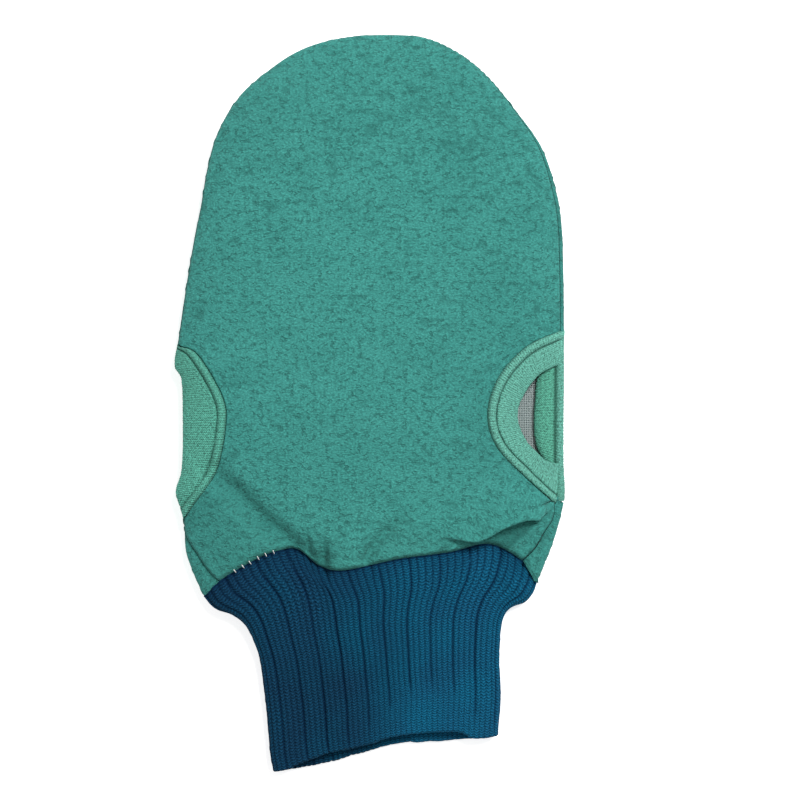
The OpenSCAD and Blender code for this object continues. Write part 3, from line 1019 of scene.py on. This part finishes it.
def left_front_rows():
    """The left front facing runs over the side and turns in underneath."""
    outer = even(LEFT_WELT, BINDING_ROWS)
    mid_y = (LEFT_WELT[0, 1] + LEFT_WELT[-1, 1]) / 2
    rows = []
    for k, o in enumerate(outer):
        swell = math.sin(math.pi * k / (BINDING_ROWS - 1)) ** 0.5
        side_y = mid_y + (o[1] - mid_y) * lerp(0.95, 1.03, abs(2 * k / (BINDING_ROWS - 1) - 1) ** 8)
        side = np.array([float(left_x(side_y)), side_y])
        width = max(0.6, float(np.hypot(*(side - o))))
        across_it = (side - o) / max(0.6, np.hypot(*(side - o)))
        welt = min(1.0, width / 3.4)
        line = []
        for w, h in WELT_PROFILE + [(3.3, -0.1)]:
            x, y = o + across_it * w * welt
            line.append((x, y, float(front_surface(x, y)) + h * max(0.35, welt)))
        facing = np.linspace(min(4.2, width), width - 0.15, 9) if width > 4.4 else []
        for w in facing:
            x, y = o + across_it * w
            line.append((x, y, float(front_surface(x, y)) + FACING_H))
        line += [
            (side[0] + 0.05, side_y, 6.4),
            (side[0] + 0.5, side_y, 5.4),
            (side[0] + 1.6 + 1.0 * swell, side_y, 4.9),
            (side[0] + 2.0 + 5.0 * swell, side_y, 5.2),
            (side[0] + 2.4 + 6.8 * swell, side_y, 5.9),
        ]
        rows.append(np.array(line))
    return rows


RIGHT_STRIP_EDGE = through([
    (73.2, 27.5), (68, 20), (64.9, 11.5), (63.9, 2), (63.5, -9), (64.6, -17), (68, -24), (73.0, -37.6),
])
STITCH_LINE_IN = 3.5


def right_back_rows():
    """The right back binding runs from its welt underneath, round the side, to a strip inside."""
    edge = even(RIGHT_STRIP_EDGE, BINDING_ROWS)
    rows = []
    for k in range(BINDING_ROWS):
        f = k / (BINDING_ROWS - 1)
        y = RIGHT_BACK_MID + (RIGHT_BACK_HALF - 0.2) * math.cos(math.pi * f)
        o = np.array([float(right_back_x(y)), y])
        side_y = lerp(y, edge[k, 1], 0.35)
        side_x = float(right_x(side_y)) + 0.1
        line = []
        width = side_x - o[0]
        welt = min(1.0, width / 4.5)
        for w, h in WELT_PROFILE + [(3.3, -0.1), (4.3, FACING_H)]:
            x = o[0] + w * welt
            line.append((x, lerp(y, side_y, w / 20), float(under_surface(x, y)) - h * UNDER_SHARE * welt))
        facing = np.linspace(4.3, width, 8)[1:-1] if width > 6 else []
        for w in facing:
            z = float(under_surface(o[0] + w, y)) - 0.1
            line.append((o[0] + w, lerp(y, side_y, w / width), z))
        ex, ey = edge[k]
        line_x = side_x - STITCH_LINE_IN
        line += [
            (side_x, side_y, 5.2),
            (side_x - 0.5, side_y, 6.9),
            (lerp(side_x, line_x, 0.55), lerp(side_y, ey, 0.2), 7.9),
            (line_x + 0.5, lerp(side_y, ey, 0.3), 7.3),
            (line_x, lerp(side_y, ey, 0.35), 6.4),
            (line_x - 0.5, lerp(side_y, ey, 0.4), 7.0),
            (lerp(line_x, ex, 0.35), lerp(side_y, ey, 0.6), 7.3),
            (lerp(line_x, ex, 0.7), lerp(side_y, ey, 0.8), 6.8),
            (lerp(line_x, ex, 0.93), ey, 5.9),
            (ex, ey, 4.9),
            (ex + 0.5, ey, 4.0),
            (ex + 2.4, ey, 3.6),
        ]
        rows.append(np.array(line))
    return rows


def strip_line(points):
    """Dark stitched line of the inner strip, seen through the hole, and the paler cloth outside it, where
    the strip's painted shade gives way to a colour near the right binding's.
    """
    x, y, z = points[:, :, 0], points[:, :, 1], points[:, :, 2]
    outside = x - right_x(y) + STITCH_LINE_IN
    return 0.9 * gauss(outside, 0.45) * (z > HINGE_Z - 0.5), smooth(outside / 1.2)


def curve_of(x_of_y, mid, half, n=BINDING_ROWS):
    a = np.linspace(0, math.pi, n)
    y = mid + half * np.cos(a)
    return together(x_of_y(y), y)


def bindings():
    rows = flat_binding_rows(RIGHT_WELT, RIGHT_EDGE, front_surface, 1)
    binding_object("right_front", rows, right_knit, 1, False)
    binding_object("left_front", left_front_rows(), left_knit, 1, True)
    binding_object("right_back", right_back_rows(), shaded_inner_knit, UNDER_SHARE, True, strip_line)
    outer = curve_of(left_back_x, LEFT_BACK_MID, LEFT_BACK_HALF)
    inner = outer.copy()
    inner[:, 1] = LEFT_BACK_MID + (outer[:, 1] - LEFT_BACK_MID) * 0.66
    inner[:, 0] = np.maximum(outer[:, 0] - 12, left_x(inner[:, 1]) + 1.5)
    outer[:, 0] = np.maximum(outer[:, 0], left_x(outer[:, 1]) + 1.0)
    rows = flat_binding_rows(outer, inner, under_surface, -UNDER_SHARE)
    binding_object("left_back", rows, left_knit, UNDER_SHARE, True)


# ---- Linings ----
LINING_ROWS, LINING_COLS = 150, 110
LINING_IN = 4.5
# Gaps between a lining and its panel, away from the cuff
FRONT_GAP, BACK_GAP = 2.4, 2.2


def lining(face, left_limit, right_limit):
    is_front = face == "front"
    low_y = JOIN_Y + 1.0
    u = np.linspace(0, 1, LINING_COLS + 1)[None, :]
    y = lerp(low_y, TIP_Y - 5, np.linspace(0, 1, LINING_ROWS + 1)[:, None]) + 0 * u
    x = lerp(left_limit(y[:, :1]), right_limit(y[:, :1]), u)
    top, bottom = front_z(x, y) + 0.7 * creases(x, y), under_surface(x, y)
    middle = (top + bottom) / 2 - 1.2 * smooth((-40 - y) / 10)
    free = smooth((y - low_y - 5) / 14)
    if is_front:
        z = lerp(middle, np.maximum(middle + 0.35, top - FRONT_GAP), free)
    else:
        z = lerp(middle - 0.5, np.minimum(middle - 0.35, bottom + BACK_GAP), free)
    z = z + 0.12 * noise(x / 7, y / 9, 41 + is_front)
    points = together(x, y, z)
    cloth = together(x, y)
    obj = grid_object(f"{face}_mesh_lining", points, lining_mesh, cloth, flip=not is_front)
    bend_with_cuff(obj)
    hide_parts(f"{face}_lining")


def linings():
    def left_front(y):
        return np.maximum(front_left_limit(y), left_x(y) + LINING_IN) + 1.2

    def right_front(y):
        return np.minimum(front_right_limit(y), right_x(y) - LINING_IN) - 1.2

    def right_back(y):
        return right_x(y) - LINING_IN - 1.5 * gauss(y - RIGHT_BACK_MID, 30)

    def left_back(y):
        hole = np.abs(y - LEFT_BACK_MID) < LEFT_BACK_HALF
        return np.maximum(left_x(y) + LINING_IN, np.where(hole, left_back_x(y) + 1.0, -90))

    lining("front", left_front, right_front)
    lining("back", left_back, right_back)


# ---- Rib cuff ----
WALES = 92
WALE_COLS = 5
CUFF_ROWS = 124
ROLL_ROWS = 8
HEM_ROWS = 28
CUFF_WALL = 2.2
JOIN_HALF_H = 5.6
JOIN_TUCK = 2.3
MOUTH_HALF_H = 3.9
# The raw end inside the join: how far it lies in, and its length
TUCK_IN, TUCK_L = 1.3, 4.0
# Fractions of the length up to which the join, and from which the mouth, shape the rings
JOIN_REACH, MOUTH_FROM = 0.42, 0.45
DEEP_EVERY = 4
COLS = WALES * WALE_COLS
# Sides of the cuff from the join to the mouth, and its mouth on each face
LEFT_CUFF = through([
    (-64.3, -74.5), (-60.3, -79), (-52.5, -81.8), (-48.5, -85), (-45.6, -90), (-42.3, -100), (-40, -117),
    (-38.5, -135), (-37.4, -141.4),
])
RIGHT_CUFF = through([
    (64.9, -66.5), (64, -71), (60.4, -75.7), (55, -78.3), (52, -82), (50.9, -88), (50.4, -99),
    (50.8, -112), (50.3, -121), (49.9, -127.4),
])
FRONT_MOUTH = through([
    (-37.4, -141.2), (-31, -140), (-26.9, -137.8), (-16, -134), (-3, -131.2), (8.7, -127.7), (22, -126),
    (34.7, -125.7), (40.5, -128.1), (49.9, -127.2),
])
BACK_MOUTH = through([
    (-37.4, -142), (-24.4, -140), (-14.2, -137.8), (-3.4, -134.7), (11.2, -131), (28.4, -129.9),
    (49.9, -128),
])
front_mouth_y, back_mouth_y = x_to_y(FRONT_MOUTH), x_to_y(BACK_MOUTH)


def stadium(half_w, half_h, n):
    """Rounded section, n + 1 even places from the left side over the top, with the last on the first."""
    a = np.linspace(math.pi, -math.pi, 721)
    run = half_w - half_h
    x = half_h * np.cos(a) + run * np.clip(3.0 * np.cos(a), -1, 1)
    z = np.clip(half_h * np.sin(a) / math.sin(math.acos(1 / 3)), -half_h, half_h)
    return even(together(x, z), n + 1)


def cuff_row(t, inset, join_x, join_z):
    """One ring of the cuff, at fraction t from the join to the mouth, inset from the outside."""
    left, right = point_at(LEFT_CUFF, t), point_at(RIGHT_CUFF, t)
    half_w = (right[0] - left[0]) / 2 - inset
    half_h = max(0.9, lerp(JOIN_HALF_H, MOUTH_HALF_H, smooth(t)) - inset)
    section = stadium(half_w, half_h, COLS)
    x = (left[0] + right[0]) / 2 + section[:, 0]
    up = section[:, 1] / half_h
    top_share = smooth((up + 1) / 2)
    a = clamp((x - left[0]) / (right[0] - left[0]))
    at_join, join_line = (lerp(LEFT_CUFF[0, c], RIGHT_CUFF[0, c], a) for c in (0, 1))
    at_mouth, mouth_line = (lerp(LEFT_CUFF[-1, c], RIGHT_CUFF[-1, c], a) for c in (0, 1))
    join_y = lerp(back_join_y(at_join), front_join_y(at_join), top_share)
    mouth_y = lerp(back_mouth_y(at_mouth), front_mouth_y(at_mouth), top_share)
    near_join = 1 - smooth(t / JOIN_REACH)
    near_mouth = smooth((t - MOUTH_FROM) / (1 - MOUTH_FROM))
    y = lerp(left[1], right[1], a) + (join_y - join_line) * near_join + (mouth_y - mouth_line) * near_mouth
    z = lerp(JOIN_HALF_H, MOUTH_HALF_H + 0.3, smooth(t)) + section[:, 1]
    # At the join the upper side follows the front panel's lowest row
    lift = np.interp(x, join_x, join_z) - JOIN_TUCK - (JOIN_HALF_H * 2 - inset)
    z = z + lift * smooth(up * 1.4) * (1 - smooth(t / 0.14))
    return together(x, y, np.maximum(z, 0.08 + inset))


def cuff_rings(join_x, join_z):
    """Rings from the tuck in the join, along the outside, round the mouth and back up the inside, with
    each one's fraction from the join to the mouth."""
    tuck = cuff_row(0.0, TUCK_IN, join_x, join_z)
    tuck[:, 1] += TUCK_L
    tuck[:, 2] += np.where(tuck[:, 2] > HINGE_Z, -0.6, 1.2)
    rings = [tuck]
    places = [0.0, *np.linspace(0, 1, CUFF_ROWS)]
    rings += [cuff_row(t, 0.0, join_x, join_z) for t in places[1:]]
    radius = CUFF_WALL / 2
    for k in range(1, ROLL_ROWS):
        turn = math.pi * k / ROLL_ROWS
        ring = cuff_row(1.0, radius * (1 - math.cos(turn)), join_x, join_z)
        ring[:, 1] -= radius * math.sin(turn) * 0.9
        rings.append(ring)
        places.append(1.0)
    inner_places = np.linspace(1.0, 0.06, HEM_ROWS)
    rings += [cuff_row(t, CUFF_WALL, join_x, join_z) for t in inner_places]
    return np.stack(rings), np.array([*places, *inner_places])


# The grooves fade out round this place, where the mouth is stretched flat
WORN_T = 0.62
WORN_X = 22.0
# Half widths in wales, depths in millimetres and painted shade of the shallow grooves, the deep ones
# and the fine ones that crowd at the join
GROOVE_WIDTHS = (0.19, 0.20, 0.13)
GROOVE_DEPTHS = (0.5, 1.15, 0.3)
GROOVE_SHADES = (0.25, 0.85, 0.4)
# Painted shade along the join, under the front panel's edge: its darkness and width
JOIN_SHADE, JOIN_LINE_W = 0.8, 0.014


def rib_relief(s, t, x):
    """How far the grooves between the wales lie below the ribs, and the painted shade in them and along the
    join.
    """
    wale = s * WALES
    groove = np.abs(wale - np.round(wale))
    deep = np.abs(wale / DEEP_EVERY - np.round(wale / DEEP_EVERY)) * DEEP_EVERY
    fine = np.abs(2 * wale - np.round(2 * wale)) / 2
    fade_t = WORN_T + 0.27 * smooth(np.abs(x - WORN_X) / 27)
    worn = 1 - 0.9 * smooth((t - fade_t) / 0.12) * smooth((x + 14) / 12)
    shallow = gauss(groove, GROOVE_WIDTHS[0]) * (1 - 0.75 * smooth((t - 0.55) / 0.3) * smooth((x + 10) / 18))
    which = np.round(wale / DEEP_EVERY)
    deep = gauss(deep, GROOVE_WIDTHS[1]) * worn * (0.75 + 0.3 * noise(which * 0.73, t * 2.5, 54))
    deep = deep * (1 - 0.4 * (1 - smooth(t / 0.25)))
    crowd = gauss(fine, GROOVE_WIDTHS[2]) * (1 - smooth(t / 0.30))
    depth, dark = (
        a * shallow + b * deep + c * crowd for a, b, c in (GROOVE_DEPTHS, GROOVE_SHADES)
    )
    return depth, clamp(dark + JOIN_SHADE * gauss(t, JOIN_LINE_W))


def cuff_shade(s, t, x):
    """0 on the dark left side to 1 on the bright right side, s being the fraction round the ring."""
    shade = 0.12 + 0.74 * smooth((x + 38) / 72) + 0.3 * smooth((t - 0.3) / 0.5) * smooth((x - 5) / 25)
    shade = shade - 0.22 * smooth((t - 0.4) / 0.3) * smooth((14 - x) / 20) - 0.10 * (1 - smooth(t / 0.3))
    return clamp(shade + 0.16 * noise(s * 22, t * 3, 53))


# Shares of the relief round the mouth and inside, and heights of the waves and the uneven yarn
MOUTH_RELIEF, INNER_RELIEF = 0.55, 0.35
WAVE_H, YARN_H = 0.22, 0.12


def rib_cuff(join_x, join_z):
    points, places = cuff_rings(join_x, join_z)
    s = np.broadcast_to(np.linspace(0, 1, COLS + 1)[None, :], points.shape[:2])
    t = np.broadcast_to(places[:, None], points.shape[:2])
    # dark is painted shade in the grooves and along the join
    relief, dark = rib_relief(s, t, points[:, :, 0])
    ring = np.arange(len(points))[:, None]
    inside, rolled = ring >= CUFF_ROWS + ROLL_ROWS, ring >= CUFF_ROWS - 1
    relief = relief * np.where(inside, INNER_RELIEF, np.where(rolled, MOUTH_RELIEF, 1.0))
    normals = grid_normals(points)
    normals[:, 0] = normals[:, -1] = (normals[:, 1] + normals[:, -2]) / 2
    waves = WAVE_H * noise(s * 40, t * 5 + 3, 51) + YARN_H * noise(s * WALES, t * 46, 52)
    points = points + normals * (relief - waves)[:, :, None]
    points[:, -1] = points[:, 0]
    points[:, :, 2] = np.maximum(points[:, :, 2], 0.02)
    along = lengths(points[:, COLS // 4])
    cloth = together(s * WALES, np.broadcast_to(along[:, None], s.shape))
    tone = together(dark, cuff_shade(s, t, points[:, :, 0]))
    obj = grid_object("rib_knit_cuff", points, rib_knit, cloth, tone, flip=True, wrap=True)
    bend_with_cuff(obj)
    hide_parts("rib_cuff")


# ---- Threads ----
def on_surface(curve, surface, lift):
    return together(*curve.T, surface(*curve.T) + lift)


def inward(curve, amount, side):
    """The curve moved towards the hole, side being 1 on the right and -1 on the left."""
    ahead = np.gradient(curve, axis=0)
    ahead /= np.linalg.norm(ahead, axis=1, keepdims=True)
    normal = together(-ahead[:, 1], ahead[:, 0])
    normal *= np.where(normal[:, :1] * side < 0, -1, 1)
    return curve + amount * normal


def thread(name, node, runs, radius, material, body=None):
    """Stitches that ride a body, or are left unattached with their transform baked where none is named."""
    obj = tubes_object(name, runs, radius, 7, material)
    if body is None:
        bend_with_cuff(obj)
    else:
        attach(obj, body)
    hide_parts(node)


TOPSTITCH_IN = 2.95
TOPSTITCH_L, TOPSTITCH_GAP, TOPSTITCH_R = 2.0, 0.6, 0.16
SEAM_STITCH_L, SEAM_STITCH_GAP, SEAM_STITCH_R = 2.2, 0.5, 0.22
SEAM_DEPTH = 0.9


def seam_thread(name, node, path, body=None):
    runs = stitches(path, SEAM_STITCH_L, SEAM_STITCH_GAP)
    thread(name, node, runs, SEAM_STITCH_R, green_thread, body)


def threads():
    right_back = curve_of(right_back_x, RIGHT_BACK_MID, RIGHT_BACK_HALF)
    left_back = curve_of(left_back_x, LEFT_BACK_MID, LEFT_BACK_HALF)
    for place, curve, surface, side, lift in (
        ("right_front", RIGHT_WELT, front_surface, 1, -0.55),
        ("left_front", LEFT_WELT, front_surface, -1, -0.55),
        ("right_back", right_back, under_surface, 1, 0.15),
        ("left_back", left_back, under_surface, -1, 0.15),
    ):
        path = on_surface(inward(even(curve, 200), TOPSTITCH_IN, side)[12:-12], surface, lift)
        runs = stitches(path, TOPSTITCH_L, TOPSTITCH_GAP)
        name, node = f"{place}_welt_stitches", f"{place}_topstitch"
        thread(name, node, runs, TOPSTITCH_R, green_thread, "mitt")
    y = np.linspace(RIGHT_WELT[0, 1] + 1, TIP_Y - 0.6, 260)
    right = together(front_right_limit(y) + 0.25, y)
    left = together(left_x(y) + 0.5, y)
    ring = even(np.vstack([right, left[::-1]]), 500)
    path = on_surface(ring, front_z, -SEAM_DEPTH)
    seam_thread("side_seam_stitches", "side_seam_thread", path, "mitt")
    for place, curve, side in (("right", RIGHT_SEAM, 1), ("left", LEFT_SEAM, -1)):
        path = on_surface(inward(curve, 0.25, side), front_z, -SEAM_DEPTH)
        seam_thread(f"{place}_lower_seam_stitches", f"{place}_lower_seam_thread", path)


WHITE_STITCH_X = (-51.6, -48.5, -45.8, -42.6, -39.7, -36.7)


def white_stitches():
    """Stitches that show across the left part of the cuff join."""
    runs = []
    for x in WHITE_STITCH_X:
        y = float(front_join_y(x))
        slope = float(front_join_y(x + 1) - front_join_y(x - 1)) / 2
        across_it = np.array([-slope, 1.0]) / math.hypot(slope, 1)
        z = float(front_surface(x, y))
        t = np.linspace(-1, 1, 9)[:, None]
        plan = np.array([[x, y]]) + across_it * t * 0.9
        arch = lerp(z - JOIN_TUCK + 0.2, z - 0.3, (t + 1) / 2) + 0.35 * (1 - t**2)
        runs.append(np.hstack([plan, arch]))
    thread("white_join_stitches", "cuff_join_thread", runs, 0.19, white_thread)


def overlock():
    """Zigzag of thread over the raw edges inside the cuff join."""
    runs = []
    half, pitch, depth = 46.0, 2.4, 1.6
    for z in (HINGE_Z - 2.8, HINGE_Z - 1.2):
        for first, last in ((-half, PUCKER_X - 6), (PUCKER_X + 6, half)):
            x = np.arange(first, last, pitch / 2)
            y = HINGE_Y + depth * (np.arange(len(x)) % 2 - 0.5)
            runs.append(even(together(x, y, np.full(len(x), z)), len(x) * 5))
    thread("overlock_stitches", "cuff_overlock_thread", runs, 0.25, white_thread)


join_x, join_z = front_panel()
back_panel()
bindings()
linings()
rib_cuff(join_x, join_z)
threads()
white_stitches()
overlock()


# ---- Floor, lights and camera ----
# The camera looks straight down at this place and takes in this width, in millimetres
VIEW_X, VIEW_Y = 11.8, 1.5
VIEW_W = 309.0
LENS = 100.0
SENSOR = 36.0
FLOOR_HALF = 3.0
FLOOR_Z = -0.0006
FLOOR_GREY = 0.75
FLOOR_GLOW = 0.62
WORLD_LIGHT = 0.40
# Name, place in metres, size and power
LIGHTS = [
    ("key", (0.52, 0.68, 1.25), 0.5, 25.5),
    ("fill", (-0.6, -0.2, 1.6), 1.4, 5.0),
]


def floor():
    mesh = bpy.data.meshes.new("floor")
    corners = [(-1, -1), (1, -1), (1, 1), (-1, 1)]
    mesh.from_pydata([(x * FLOOR_HALF, y * FLOOR_HALF, FLOOR_Z) for x, y in corners], [], [(0, 1, 2, 3)])
    mesh.materials.append(Nodes("floor_white").shaded({
        "Base Color": (FLOOR_GREY, FLOOR_GREY, FLOOR_GREY),
        "Roughness": 0.9,
        "Specular IOR Level": 0.1,
        "Emission Color": (1, 1, 1),
        "Emission Strength": FLOOR_GLOW,
    }))
    scene_object("floor", mesh)


def lights():
    world = bpy.data.worlds.new("studio")
    world.use_nodes = True
    background = world.node_tree.nodes["Background"].inputs
    background["Color"].default_value = (1, 1, 1, 1)
    background["Strength"].default_value = WORLD_LIGHT
    bpy.context.scene.world = world
    for name, place, size, power in LIGHTS:
        light = bpy.data.lights.new(name, "AREA")
        light.shape = "DISK"
        light.size = size
        light.energy = power
        obj = scene_object(name, light)
        obj.location = place
        # Aimed at the middle of the floor
        x, y, z = place
        obj.rotation_euler = (math.atan2(math.hypot(x, y), z), 0, math.atan2(-x, y) + math.pi)


def camera():
    data = bpy.data.cameras.new("camera")
    data.lens = LENS
    data.sensor_width = SENSOR
    obj = scene_object("camera", data)
    distance_mm = VIEW_W * LENS / SENSOR + HINGE_Z
    obj.location = (VIEW_X * MM, VIEW_Y * MM, distance_mm * MM)
    bpy.context.scene.camera = obj


floor()
lights()
camera()
bpy.context.scene.view_settings.view_transform = "Standard"
